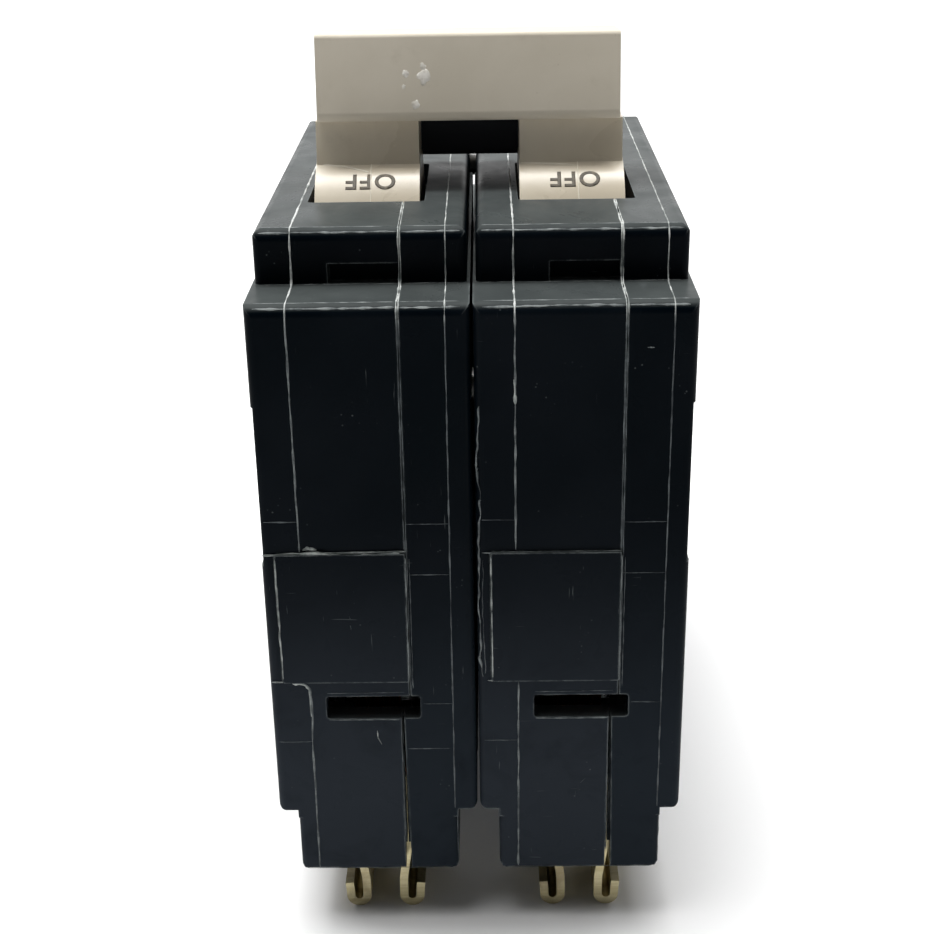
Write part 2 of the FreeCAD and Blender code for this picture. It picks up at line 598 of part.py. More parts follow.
for pole in (1, 2):
    n = "_%d" % pole
    base, cover = split_case(case_hollow(case_outer(pole), pole))
    put("case_base" + n, base, pole)
    put("case_cover" + n, cover, pole)
    put("handle" + n, handle(pole), pole)
    put("contact_arm" + n, arm(), pole)
    put("moving_contact" + n, moving_contact(), pole)
    put("arm_pin" + n, cyl("x", 0, ARM_Y, ARM_Z, PIN_R, -8.2, 8.2), pole)
    sp = coil((ARM_Y - 2.5, ARM_Z - 3.2), (ARM_Y - 11.3, ARM_Z - 10.0), 0.95, 0.22, 9, -2.95)
    put("arm_spring" + n, turned(sp, ARM_TURN), pole)
    put("line_strap" + n, line_strap(), pole)
    put("fixed_contact" + n, cyl("y", 0, 0, CONTACT_Z, 2.0, STRAP_Y + 1.0, STRAP_Y + 2.6), pole)
    put("jaw_leaf_left" + n, leaf(-1), pole)
    put("jaw_leaf_right" + n, leaf(1), pole)
    put("jaw_clip" + n, jaw_clip(), pole)
    put("arc_plates" + n, arc_plates(), pole)
    put("arc_walls" + n, arc_walls(), pole)
    put("trip_lever" + n, lever(), pole)
    put("armature" + n, armature(), pole)
    put("magnet_yoke" + n, yoke(), pole)
    put("bimetal" + n, bimetal(), pole)
    put("load_strap" + n, load_strap(), pole)
    put("calibration_screw" + n, calibration_screw(), pole)
    put("braid" + n, braid(), pole)
    put("terminal_lug" + n, lug(), pole)
    put("pressure_plate" + n, pressure_plate(), pole)
    put("terminal_screw" + n, terminal_screw(), pole)
put("handle_tie", tie())
put("handle_link", link())
put("trip_bar", trip_bar())
put("case_rivets", rivets())
put("side_label", side_label())

os.makedirs("parts", exist_ok=True)
for name, shape in NODES.items():
    bb = shape.BoundBox
    print("%-22s solids %d valid %s vol %.2f  x %.2f %.2f  y %.2f %.2f  z %.2f %.2f" % (
        name, len(shape.Solids), shape.isValid(), shape.Volume, bb.XMin, bb.XMax, bb.YMin, bb.YMax, bb.ZMin, bb.ZMax))
    shape.exportStep("parts/%s.step" % name)
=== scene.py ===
import bpy, bmesh, math, random
from mathutils import Vector, Matrix, noise


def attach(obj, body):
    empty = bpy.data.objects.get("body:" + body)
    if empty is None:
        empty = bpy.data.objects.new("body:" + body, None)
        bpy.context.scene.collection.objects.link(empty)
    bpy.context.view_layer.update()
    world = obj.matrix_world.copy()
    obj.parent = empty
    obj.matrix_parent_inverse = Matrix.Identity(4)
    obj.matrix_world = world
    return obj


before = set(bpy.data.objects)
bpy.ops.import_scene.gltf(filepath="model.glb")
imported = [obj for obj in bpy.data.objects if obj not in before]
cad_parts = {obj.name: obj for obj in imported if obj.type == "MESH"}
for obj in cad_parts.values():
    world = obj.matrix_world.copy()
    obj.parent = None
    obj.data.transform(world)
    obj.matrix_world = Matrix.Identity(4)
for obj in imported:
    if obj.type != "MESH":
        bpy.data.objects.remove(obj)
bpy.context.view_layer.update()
MM = 0.001
YS, ZS = -37.75, 62.5            # pole-local y and z to the row frame, in mm
POLE = {1: -9.525, 2: 9.525}
PIV = (23.7, 0.0)
DRUM_R = 7.75
HDX = {1: 0.0, 2: -0.30}
random.seed(7)


def L(x, y, z, pole=None):
    return Vector(((x + (POLE[pole] if pole else 0.0)) * MM, (y + YS) * MM, (z + ZS) * MM))


# ------------------------------------------------------------------ materials
def srgb(r, g, b):
    def f(c):
        c /= 255.0
        return c / 12.92 if c <= 0.04045 else ((c + 0.055) / 1.055) ** 2.4
    return (f(r), f(g), f(b), 1.0)


class M:
    """A small helper that wires a node-based material."""
    def __init__(self, name):
        self.m = bpy.data.materials.new(name)
        self.m.use_nodes = True
        self.t = self.m.node_tree
        self.t.nodes.clear()
        self.out = self.n("ShaderNodeOutputMaterial")
        self.p = self.n("ShaderNodeBsdfPrincipled")
        self.t.links.new(self.p.outputs[0], self.out.inputs[0])
        self.co = self.n("ShaderNodeTexCoord").outputs["Object"]

    def n(self, kind):
        return self.t.nodes.new(kind)

    def link(self, a, b):
        self.t.links.new(a, b)

    def put(self, sock, v):
        if isinstance(v, bpy.types.NodeSocket):
            self.link(v, sock)
        else:
            sock.default_value = v

    def mapping(self, scale=(1, 1, 1), rot=(0, 0, 0), loc=(0, 0, 0)):
        k = self.n("ShaderNodeMapping")
        k.inputs["Scale"].default_value = scale
        k.inputs["Rotation"].default_value = rot
        k.inputs["Location"].default_value = loc
        self.link(self.co, k.inputs["Vector"])
        return k.outputs[0]

    def noise(self, scale, detail=4.0, rough=0.55, vec=None, dist=0.0):
        k = self.n("ShaderNodeTexNoise")
        k.inputs["Scale"].default_value = scale
        k.inputs["Detail"].default_value = detail
        k.inputs["Roughness"].default_value = rough
        k.inputs["Distortion"].default_value = dist
        self.link(vec if vec is not None else self.co, k.inputs["Vector"])
        return k.outputs[0]

    def voronoi(self, scale, feature="F1", vec=None):
        k = self.n("ShaderNodeTexVoronoi")
        k.feature = feature
        k.inputs["Scale"].default_value = scale
        self.link(vec if vec is not None else self.co, k.inputs["Vector"])
        return k.outputs[0]

    def ramp(self, fac, a, b, lo=0.0, hi=1.0):
        k = self.n("ShaderNodeMapRange")
        k.interpolation_type = "SMOOTHSTEP"
        self.link(fac, k.inputs["Value"])
        k.inputs["From Min"].default_value = a
        k.inputs["From Max"].default_value = b
        k.inputs["To Min"].default_value = lo
        k.inputs["To Max"].default_value = hi
        return k.outputs[0]

    def mix(self, fac, a, b):
        k = self.n("ShaderNodeMix")
        k.data_type = "RGBA"
        self.put(k.inputs[0], fac)
        self.put(k.inputs[6], a)
        self.put(k.inputs[7], b)
        return k.outputs[2]

    def math(self, op, a, b=0.0, clamp=False):
        k = self.n("ShaderNodeMath")
        k.operation = op
        k.use_clamp = clamp
        self.put(k.inputs[0], a)
        self.put(k.inputs[1], b)
        return k.outputs[0]

    def bump(self, height, strength, distance):
        k = self.n("ShaderNodeBump")
        k.inputs["Strength"].default_value = strength
        k.inputs["Distance"].default_value = distance
        self.link(height, k.inputs["Height"])
        return k.outputs[0]

    def edge(self, radius):
        """1 on corners tighter than radius, 0 on flats."""
        b = self.n("ShaderNodeBevel")
        b.samples = 6
        b.inputs["Radius"].default_value = radius
        g = self.n("ShaderNodeNewGeometry")
        d = self.n("ShaderNodeVectorMath")
        d.operation = "DOT_PRODUCT"
        self.link(b.outputs[0], d.inputs[0])
        self.link(g.outputs["Normal"], d.inputs[1])
        return self.ramp(d.outputs["Value"], 0.985, 0.80)

    def set(self, color=None, rough=None, metallic=None, normal=None, ior=None, spec=None, coat=None):
        if color is not None:
            self.put(self.p.inputs["Base Color"], color)
        if rough is not None:
            self.put(self.p.inputs["Roughness"], rough)
        if metallic is not None:
            self.put(self.p.inputs["Metallic"], metallic)
        if normal is not None:
            self.link(normal, self.p.inputs["Normal"])
        if ior is not None:
            self.p.inputs["IOR"].default_value = ior
        if spec is not None:
            self.p.inputs["Specular IOR Level"].default_value = spec
        return self.m


def moulded_black(name, base, haze, wear, wear_amt=0.8, rough=0.30, seed=0.0, floor_reflection_tint=None, spec=0.022, dust_and_sheen_amount=0.62):
    k = M(name)
    big = k.noise(55, 3, 0.5, k.mapping(loc=(seed, seed * 0.7, 0.2)))
    c = k.mix(k.ramp(big, 0.35, 0.72), base, haze)
    if floor_reflection_tint is not None:
        # painted floor reflection: colour lifts towards the foot, its edge shifted by the grain
        sp = k.n("ShaderNodeSeparateXYZ")
        k.link(k.co, sp.inputs[0])
        zz = k.math("ADD", sp.outputs[2], k.math("MULTIPLY", big, 0.010))
        c = k.mix(k.ramp(zz, 0.050, 0.018, 0.0, 1.0), c, floor_reflection_tint)
    # handling haze: soft cloudy patches
    cloud = k.noise(160, 6, 0.65, k.mapping(loc=(0.3 + seed, 0.1, 0.5)), 0.6)
    c = k.mix(k.ramp(cloud, 0.50, 0.80, 0.0, 0.50), c, haze)
    # settled dust and painted sheen: faces that turn up are coloured lighter grey
    gn = k.n("ShaderNodeNewGeometry")
    sn = k.n("ShaderNodeSeparateXYZ")
    k.link(gn.outputs["Normal"], sn.inputs[0])
    dust_and_sheen = k.math("MULTIPLY", k.ramp(sn.outputs[2], 0.45, 0.98), k.ramp(k.noise(210, 5, 0.6), 0.25, 0.75, 0.70, 1.0))
    c = k.mix(k.math("MULTIPLY", dust_and_sheen, dust_and_sheen_amount), c, srgb(84, 89, 88))
    # fine dust
    dust = k.voronoi(1500)
    dn = k.noise(240, 4, 0.6)
    dmask = k.math("MULTIPLY", k.ramp(dust, 0.16, 0.05), k.ramp(dn, 0.55, 0.70))
    c = k.mix(k.math("MULTIPLY", dmask, 0.35), c, wear)
    # hair scratches in two directions
    s1 = k.noise(1.0, 2, 0.5, k.mapping(scale=(260, 40, 5200), rot=(0.25, 0.1, 0.5)), 0.3)
    s2 = k.noise(1.0, 2, 0.5, k.mapping(scale=(5600, 60, 330), rot=(-0.2, 0.5, 0.2)), 0.2)
    sm = k.math("MAXIMUM", k.ramp(s1, 0.73, 0.78), k.ramp(s2, 0.735, 0.785))
    sm = k.math("MULTIPLY", sm, k.ramp(k.noise(90, 2, 0.5), 0.48, 0.62, 0.0, 0.40))
    c = k.mix(sm, c, wear)
    # rubbed edges
    e = k.math("MULTIPLY", k.edge(0.00030), k.ramp(k.noise(520, 5, 0.7), 0.38, 0.62, 0.15, 1.0))
    e = k.math("MULTIPLY", e, wear_amt)
    c = k.mix(e, c, wear)
    r = k.ramp(cloud, 0.3, 0.75, rough - 0.05, rough + 0.13)
    r = k.math("ADD", r, k.math("MULTIPLY", e, 0.25), True)
    h = k.math("ADD", k.math("MULTIPLY", k.noise(900, 3, 0.5), 0.5), k.math("MULTIPLY", big, 0.8))
    h = k.math("SUBTRACT", h, k.math("MULTIPLY", sm, 0.6))
    return k.set(c, r, 0.0, k.bump(h, 0.20, 0.00006), ior=1.5, spec=spec)


def moulded_tan(name, base, light, dark, rough=0.36, spec=0.5):
    k = M(name)
    big = k.noise(110, 4, 0.55, dist=0.4)
    c = k.mix(k.ramp(big, 0.35, 0.70, 0.0, 0.55), base, light)
    grime = k.noise(330, 6, 0.7)
    c = k.mix(k.ramp(grime, 0.55, 0.80, 0.0, 0.30), c, dark)
    spots = k.math("MULTIPLY", k.ramp(k.voronoi(1300), 0.13, 0.04), k.ramp(k.noise(210, 3, 0.5), 0.56, 0.66, 0, 0.55))
    c = k.mix(spots, c, dark)
    e = k.math("MULTIPLY", k.edge(0.00022), k.ramp(k.noise(450, 4, 0.6), 0.35, 0.65, 0.25, 0.9))
    c = k.mix(e, c, light)
    r = k.ramp(big, 0.3, 0.7, rough - 0.05, rough + 0.10)
    h = k.math("ADD", k.math("MULTIPLY", k.noise(1100, 3, 0.5), 0.6), k.math("MULTIPLY", big, 0.5))
    return k.set(c, r, 0.0, k.bump(h, 0.18, 0.00006), ior=1.5, spec=spec)


def metal(name, a, b, rough=0.35, axis=(4000, 120, 120), tarnish=None, metallic=1.0, amt=0.6):
    k = M(name)
    g = k.noise(1.0, 3, 0.5, k.mapping(scale=axis))
    c = k.mix(k.ramp(g, 0.3, 0.7), a, b)
    cl = k.noise(260, 5, 0.6, dist=0.5)
    if tarnish is not None:
        c = k.mix(k.ramp(cl, 0.42, 0.68, 0.0, amt), c, tarnish)
    r = k.math("ADD", k.ramp(g, 0.3, 0.7, rough - 0.07, rough + 0.07), k.ramp(cl, 0.45, 0.75, 0.0, 0.16), True)
    return k.set(c, r, metallic, k.bump(g, 0.15, 0.00003))


# the last colour of each case material is the painted floor reflection near the foot
CASE = moulded_black("case_black", srgb(3, 8, 13), srgb(11, 16, 21), srgb(112, 118, 118), floor_reflection_tint=srgb(40, 45, 51))
CASE_B = moulded_black("cover_black", srgb(2, 7, 12), srgb(9, 14, 19), srgb(112, 118, 118), seed=3.1,
                       floor_reflection_tint=srgb(30, 36, 42))
LINKM = moulded_black("link_black", srgb(34, 36, 40), srgb(48, 50, 54), srgb(110, 112, 112), 0.4, 0.42)
TRIPM = moulded_black("trip_black", srgb(26, 26, 27), srgb(44, 44, 45), srgb(120, 120, 118), 0.3, 0.5)
TAN = moulded_tan("handle_tan", srgb(203, 192, 171), srgb(218, 209, 190), srgb(166, 153, 132), 0.27)
# lighter tan for the drum's mould ridges: a painted highlight on top of the real ridge
TAN_RIDGE_HIGHLIGHT = moulded_tan("tan_ridge_painted_highlight", srgb(222, 214, 196), srgb(236, 230, 214), srgb(196, 186, 166), 0.34)
TAN_TIE = moulded_tan("tie_tan", srgb(197, 189, 173), srgb(208, 200, 185), srgb(172, 163, 146), 0.5, 0.05)
COPPER = metal("copper", srgb(190, 118, 84), srgb(214, 146, 110), 0.30, tarnish=srgb(104, 62, 46))
SILVER = metal("contact_silver", srgb(205, 203, 198), srgb(226, 224, 220), 0.28, tarnish=srgb(120, 116, 108), amt=0.35)
STEEL = metal("plated_steel", srgb(168, 170, 172), srgb(196, 197, 196), 0.32, tarnish=srgb(120, 120, 116), amt=0.45)
SPRING = metal("spring_steel", srgb(118, 120, 124), srgb(150, 152, 156), 0.34, tarnish=srgb(74, 72, 70), amt=0.5)
RIVET = metal("rivet_steel", srgb(150, 151, 150), srgb(182, 182, 180), 0.36, axis=(200, 2600, 2600), tarnish=srgb(96, 92, 86), amt=0.6)
BIMET = metal("bimetal", srgb(180, 172, 156), srgb(202, 196, 182), 0.33, tarnish=srgb(128, 112, 92), amt=0.5)
LUG = metal("tin_plate", srgb(186, 186, 182), srgb(208, 208, 204), 0.36, tarnish=srgb(132, 130, 122), amt=0.5)
SCREW = metal("zinc_screw", srgb(184, 182, 168), srgb(206, 204, 190), 0.30, axis=(900, 900, 900), tarnish=srgb(128, 120, 100), amt=0.5)
JAW = metal("jaw_brass", srgb(196, 184, 142), srgb(216, 206, 168), 0.36, axis=(160, 160, 3600), tarnish=srgb(120, 104, 84), amt=0.6)


def fibre_mat():
    k = M("fibre")
    n = k.noise(1.0, 5, 0.6, k.mapping(scale=(300, 300, 2600)))
    c = k.mix(k.ramp(n, 0.3, 0.7), srgb(116, 66, 48), srgb(146, 92, 66))
    return k.set(c, k.ramp(n, 0.3, 0.7, 0.62, 0.78), 0.0, k.bump(n, 0.3, 0.00008))


def label_mat():
    k = M("blank_label")
    n = k.noise(140, 4, 0.6)
    c = k.mix(k.ramp(n, 0.35, 0.7), srgb(206, 205, 198), srgb(184, 182, 172))
    s = k.ramp(k.voronoi(900), 0.10, 0.03, 0.0, 0.4)
    c = k.mix(k.math("MULTIPLY", s, k.ramp(k.noise(80), 0.5, 0.65)), c, srgb(120, 116, 106))
    return k.set(c, k.ramp(n, 0.3, 0.7, 0.40, 0.55), 0.0, k.bump(n, 0.1, 0.00003))


def bead_mat(name, lo, hi, painted_lit_lo, painted_lit_hi):
    """Whitened mould flash; from the shelf's height up the same flash takes a brighter pair of colours, a painted
    highlight for the faces that turn up to the overhead light.
    """
    k = M(name)
    n = k.ramp(k.noise(620, 5, 0.7), 0.36, 0.64)
    sp = k.n("ShaderNodeSeparateXYZ")
    k.link(k.co, sp.inputs[0])
    # painted highlight: switch to the brighter copy of the colour from the shelf's height up
    up = k.ramp(sp.outputs[2], 0.0604, 0.0626)
    c = k.mix(up, k.mix(n, lo, hi), k.mix(n, painted_lit_lo, painted_lit_hi))
    return k.set(c, k.ramp(n, 0.0, 1.0, 0.42, 0.6), 0.0, k.bump(k.noise(900, 4, 0.6), 0.3, 0.00003), spec=0.2)


def ink_mat():
    k = M("ink")
    n = k.noise(1600, 4, 0.6)
    c = k.mix(k.ramp(n, 0.45, 0.75), srgb(84, 77, 64), srgb(128, 118, 100))
    return k.set(c, k.ramp(n, 0.3, 0.7, 0.5, 0.65), 0.0, k.bump(n, 0.1, 0.00002))


def chip_mat():
    k = M("chip")
    n = k.noise(1200, 5, 0.7)
    c = k.mix(k.ramp(n, 0.35, 0.65), srgb(196, 190, 178), srgb(226, 222, 214))
    return k.set(c, k.ramp(n, 0.3, 0.7, 0.45, 0.6), 0.0, k.bump(n, 0.4, 0.00005))


FIBRE, LABEL, INK, CHIP = fibre_mat(), label_mat(), ink_mat(), chip_mat()
# in each flash colour the last two are the painted-highlight copy used from the shelf's height up
BEAD = bead_mat("flash_dim", srgb(40, 46, 50), srgb(88, 94, 96), srgb(120, 126, 124), srgb(196, 199, 196))
BEAD_A = bead_mat("flash_mid", srgb(60, 66, 68), srgb(118, 124, 124), srgb(132, 138, 136), srgb(208, 210, 208))
BEAD_P = bead_mat("flash_pale", srgb(88, 94, 93), srgb(158, 163, 160), srgb(150, 156, 154), srgb(210, 212, 210))
RUB = bead_mat("rubbed_edge", srgb(44, 50, 54), srgb(96, 102, 104), srgb(72, 78, 79), srgb(128, 133, 132))
BY_NAME = {"case_base": CASE, "case_cover": CASE_B, "handle": TAN, "contact_arm": COPPER, "moving_contact": SILVER,
           "arm_pin": STEEL, "arm_spring": SPRING, "line_strap": COPPER, "fixed_contact": SILVER,
           "jaw_leaf_left": JAW, "jaw_leaf_right": JAW, "jaw_clip": SPRING, "arc_plates": STEEL, "arc_walls": FIBRE,
           "trip_lever": STEEL, "armature": STEEL, "magnet_yoke": STEEL, "bimetal": BIMET, "load_strap": COPPER,
           "calibration_screw": SCREW, "braid": COPPER, "terminal_lug": LUG, "pressure_plate": STEEL,
           "terminal_screw": SCREW, "handle_tie": TAN_TIE, "handle_link": LINKM, "trip_bar": TRIPM,
           "case_rivets": RIVET, "side_label": LABEL}
for node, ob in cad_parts.items():
    key = node[:-2] if node[-2:] in ("_1", "_2") else node
    mat = BY_NAME[key]
    if ob.material_slots:
        for s in ob.material_slots:
            s.material = mat
    else:
        ob.data.materials.append(mat)


# ------------------------------------------------------------------ added pieces
def new_mesh(name, bm, mat, body, smooth=True):
    me = bpy.data.meshes.new(name)
    bmesh.ops.recalc_face_normals(bm, faces=bm.faces)
    bm.to_mesh(me)
    bm.free()
    if smooth:
        for p in me.polygons:
            p.use_smooth = True
    ob = bpy.data.objects.new(name, me)
    bpy.context.scene.collection.objects.link(ob)
    me.materials.append(mat)
    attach(ob, body)
    return ob


def path_round(pts, r, n=6):
    """Polyline of (a, b) with its corners rounded."""
    out = [pts[0]]
    for i in range(1, len(pts) - 1):
        p, q, s = Vector(pts[i - 1]), Vector(pts[i]), Vector(pts[i + 1])
        u, w = (p - q).normalized(), (s - q).normalized()
        ang = u.angle(w)
        if ang > 3.0:                            # nearly straight: nothing to round
            out.append((q.x, q.y))
            continue
        rr = min(r, 0.45 * min((p - q).length, (s - q).length) * math.tan(ang / 2))
        t = rr / math.tan(ang / 2)
        c = q + (u + w).normalized() * (rr / math.sin(ang / 2))
        a0 = math.atan2(*(q + u * t - c).yx)
        a1 = math.atan2(*(q + w * t - c).yx)
        d = (a1 - a0 + math.pi) % (2 * math.pi) - math.pi
        for k in range(n + 1):
            a = a0 + d * k / n
            out.append((c.x + rr * math.cos(a), c.y + rr * math.sin(a)))
    out.append(pts[-1])
    return out


def resample(pts, step):
    out = [Vector(pts[0])]
    for a, b in zip(pts, pts[1:]):
        a, b = Vector(a), Vector(b)
        d = (b - a).length
        m = max(1, int(math.ceil(d / step)))
        for k in range(1, m + 1):
            out.append(a.lerp(b, k / m))
    return out


def bead(name, line3, normals, width, height, seed, body="case", mat=None, ragged=1.0):
    """A thin, uneven raised line with closed underside along 3-D points, in mm."""
    bm = bmesh.new()
    rows = []
    n = len(line3)
    for i, (p, nn) in enumerate(zip(line3, normals)):
        t = (line3[min(n - 1, i + 1)] - line3[max(0, i - 1)]).normalized()
        s = t.cross(nn).normalized()
        g = noise.noise(Vector((seed, i * 0.37, 0.3))) + 0.6 * noise.noise(Vector((seed + 9.0, i * 1.3, 2.3)))
        w = width * max(0.30, 0.95 + 0.75 * ragged * g)
        h = height * max(0.35, 1.0 + 0.8 * noise.noise(Vector((i * 0.41, seed, 1.7))))
        if i in (0, n - 1):
            w, h = w * 0.4, h * 0.3
        side = s * (width * 0.30 * ragged * noise.noise(Vector((seed * 2, i * 0.21, 5.1))))
        row = []
        for (a, b) in ((-0.5, -0.9), (-0.5, 0.0), (-0.25, 0.8), (0.0, 1.0), (0.25, 0.8), (0.5, 0.0), (0.5, -0.9)):
            row.append(bm.verts.new((p + side + s * (a * w) + nn * (b * h)) * MM))
        rows.append(row)
    for r0, r1 in zip(rows, rows[1:]):
        m = len(r0)
        for k in range(m):
            bm.faces.new((r0[k], r0[(k + 1) % m], r1[(k + 1) % m], r1[k]))
    bm.faces.new(rows[0][::-1])
    bm.faces.new(rows[-1])
    return new_mesh(name, bm, mat or BEAD, body)


def vertical(name, pole, x, pts_yz, seed, width=0.13, height=0.045, r=1.0, drift=0.0, mat=None, ragged=1.0):
    """Flash line in a plane of constant x, following the case's profile."""
    pl = resample(path_round(pts_yz, r), 0.45)
    line, nrm = [], []
    n = len(pl)
    for i, p in enumerate(pl):
        a, b = pl[max(0, i - 1)], pl[min(n - 1, i + 1)]
        t = (b - a).normalized()
        nn = Vector((0.0, -t.y, t.x))            # outward: left of the way up the face
        xx = x + drift * (p.y / 56.0)
        line.append(Vector((xx + POLE[pole], p.x + YS, p.y + ZS)))
        nrm.append(nn)
    return bead(name, line, nrm, width, height, seed, mat=mat, ragged=ragged)


def front(name, pole, pts_xz, seed, width=0.11, height=0.04, y=0.0, r=0.5, mat=None, ragged=1.0, nrm=(0, -1, 0), wave=0.0):
    """Flash line on the near face through (x, z) points."""
    pl = resample(path_round(pts_xz, r) if len(pts_xz) > 2 else pts_xz, 0.4)
    line = [Vector((q.x + POLE[pole] + wave * noise.noise(Vector((seed, i * 0.35, 8.8))), y + YS,
                    q.y + ZS + 0.4 * wave * noise.noise(Vector((seed, i * 0.5, 3.3)))))
            for i, q in enumerate(pl)]
    return bead(name, line, [Vector(nrm).normalized()] * len(line), width, height, seed, mat=mat, ragged=ragged)


for p in (1, 2):
    s = p * 10.0
    up = [(0, 0), (6.3, 0), (6.3, 4.78)]
    # left insert line: whole height, interrupted by the pad
    if p == 1:
        front("flash_a_low_1", 1, [(-9.17, -35.70), (-7.5, -35.76), (-5.72, -35.95), (-5.62, -38.5), (-5.80, -42.0),
                                   (-5.84, -56.3)], s + 1, 0.16, 0.05, r=0.9, mat=BEAD_A)
        front("flash_hook_1", 1, [(-7.3, -35.86), (-5.80, -36.12), (-5.76, -39.4)], s + 1.5, 0.20, 0.03, r=0.8, mat=BEAD_P,
              ragged=1.5)
    else:
        front("flash_a_low_2", 2, [(-5.72, -35.9), (-5.76, -46.0), (-5.80, -56.3)], s + 1, 0.16, 0.05, mat=BEAD_A)
    vertical("flash_a_up_%d" % p, p, -5.92, [(0, -22.5)] + up + [(40.0, 4.78)], s + 2, 0.16, mat=BEAD_A)
    # right insert line
    vertical("flash_c_%d" % p, p, 7.33, [(0, -49.6)] + up + [(55.0, 4.78)], s + 3, 0.12, drift=0.04)
    # seam flash along the parting line
    vertical("flash_b_%d" % p, p, 3.33, [(0, -22.6), (0, 0), (6.3, 0), (6.3, 4.78), (15.8, 4.78)], s + 4, 0.12, 0.04,
             ragged=1.4)
    vertical("flash_d_%d" % p, p, 3.49, [(0, -37.0), (0, 0), (6.3, 0), (6.3, 4.78), (15.8, 4.78)], s + 5, 0.09, 0.03,
             ragged=1.4)
    front("flash_h1_%d" % p, p, [(-8.9, -19.6), (-5.95, -19.6)], s + 6, 0.10)
    front("flash_h2_%d" % p, p, [(3.55, -19.92), (7.25, -19.92)], s + 7, 0.09)
    front("flash_h3_%d" % p, p, [(3.55, -24.88), (7.25, -24.88)], s + 8, 0.09)
    front("flash_h4_%d" % p, p, [(4.6, -38.14), (7.25, -38.14)], s + 9, 0.09)
    front("flash_h5_%d" % p, p, [(-8.9, -42.13), (-5.85, -42.13)], s + 10, 0.09)
    # rubbed edges of the pad and of the vent
    front("pad_side_%d" % p, p, [(-8.10, -22.9), (-8.06, -35.55)], s + 12, 0.20 if p == 1 else 0.17, 0.03, y=-0.33,
          mat=BEAD_P, ragged=0.6)
    front("pad_foot_%d" % p, p, [(-9.2 if p == 1 else -8.5, -35.68), (-3.0, -35.72), (3.3, -35.64)], s + 13, 0.13, 0.04,
          y=-0.10, mat=BEAD_P, wave=0.10)
    front("pad_right_%d" % p, p, [(3.40, -23.0), (3.38, -35.6)], s + 14, 0.11, 0.03, y=-0.33, mat=BEAD_A)
    front("flash_e_%d" % p, p, [(3.72, -23.3), (3.70, -36.5)], s + 15, 0.07, 0.03, ragged=1.5)
    front("vent_top_%d" % p, p, [(-4.2, -36.96), (2.9, -36.90)], s + 16, 0.09, 0.03, mat=RUB)
    front("vent_foot_%d" % p, p, [(-4.15, -39.78), (2.45, -39.80)], s + 17, 0.13, 0.03, mat=BEAD_A, ragged=0.8)
    front("seam_left_%d" % p, p, [(2.50, -40.1), (2.52, -54.5)], s + 18, 0.09, 0.03, mat=RUB if p == 2 else BEAD)
    # rubbed edges of the line foot
    front("foot_edge_%d" % p, p, [(7.50, -50.2), (7.50, -56.05), (6.9, -56.5), (-7.1, -56.5), (-7.5, -55.9)], s + 19, 0.08,
          0.03, y=0.10, r=0.5, mat=RUB, nrm=(0, -0.8, -0.5))
    # rubbed edges of the two front corners; they sit above the shelf's height, so their colour is the brighter
    # painted-highlight copy
    for nm, (yy, zz, nz), w, m in (("rub_top_a", (6.3 + 1.0, 4.78, (0, -0.15, 1)), 0.12, RUB),
                                   ("rub_top_b", (6.3 + 0.29, 4.78 - 0.29, (0, -0.7, 0.7)), 0.16, RUB),
                                   ("rub_shelf_a", (1.0, 0.0, (0, -0.15, 1)), 0.13, RUB),
                                   ("rub_shelf_b", (0.29, -0.29, (0, -0.7, 0.7)), 0.16, RUB),
                                   ("rub_back", (6.26, 0.0, (0, -0.6, 0.8)), 0.10, RUB)):
        for half, (x0, x1) in enumerate(((-8.6, 3.2), (3.6, 8.6))):
            nn = 40 if half == 0 else 18
            wv = seed_w = s + 20 + 3.7 * half + yy
            line = [Vector((x0 + (x1 - x0) * i / nn + POLE[p], yy + YS, zz + ZS)) for i in range(nn + 1)]
            bead("%s_%d_%d" % (nm, half, p), line, [Vector(nz).normalized()] * (nn + 1), w, 0.022, wv, mat=m, ragged=1.3)

# marks that only one pole has
front("pad_top_1", 1, [(-9.2, -22.78), (-7.2, -22.62), (3.45, -22.50)], 61.0, 0.15, 0.04, y=-0.16, mat=BEAD_P, wave=0.12)
front("pad_top_b_1", 1, [(-5.8, -22.50), (-1.0, -22.86), (2.9, -22.60)], 62.0, 0.30, 0.025, y=-0.30, mat=BEAD_P, ragged=1.6)
front("pad_top_2", 2, [(-8.9, -22.70), (3.4, -22.62)], 63.0, 0.11, 0.04, y=-0.16, mat=BEAD_A, wave=0.08)
front("flash_h6_1", 1, [(3.05, -42.98), (6.95, -42.98)], 64.0, 0.08, 0.025, mat=RUB)
front("flash_side_a", 2, [(-8.95, -9.0), (-9.28, -14.8), (-8.95, -17.7), (-9.22, -21.5), (-9.10, -23.5), (-9.24, -28.3),
                          (-9.10, -30.8), (-9.22, -33.3), (-8.90, -35.6)], 65.0, 0.14, 0.06, y=0.12, r=0.6, mat=BEAD_A,
      ragged=1.5, wave=0.16)
front("flash_side_b", 2, [(-8.80, -23.5), (-8.92, -29.0), (-8.70, -35.0)], 66.0, 0.07, 0.03, mat=RUB, wave=0.12)
front("scratch_a", 1, [(-1.98, -28.3), (-1.70, -29.0), (-1.72, -29.7), (-1.62, -30.4)], 71.0, 0.055, 0.012, y=-0.34, r=0.3,
      mat=BEAD_A)
front("scratch_b", 1, [(0.20, -30.95), (2.6, -30.90)], 72.0, 0.055, 0.012, y=-0.34, mat=BEAD_A, ragged=0.5)
front("scratch_c", 1, [(-4.6, -31.0), (-3.5, -31.0)], 73.0, 0.045, 0.012, y=-0.34, mat=BEAD)
front("scratch_d", 1, [(0.25, -41.0), (0.28, -41.7), (0.62, -42.5)], 74.0, 0.075, 0.015, y=0.0, r=0.4, mat=BEAD_P)
front("scratch_e", 1, [(0.9, -31.5), (2.8, -31.55)], 75.0, 0.04, 0.010, y=-0.34, mat=BEAD)
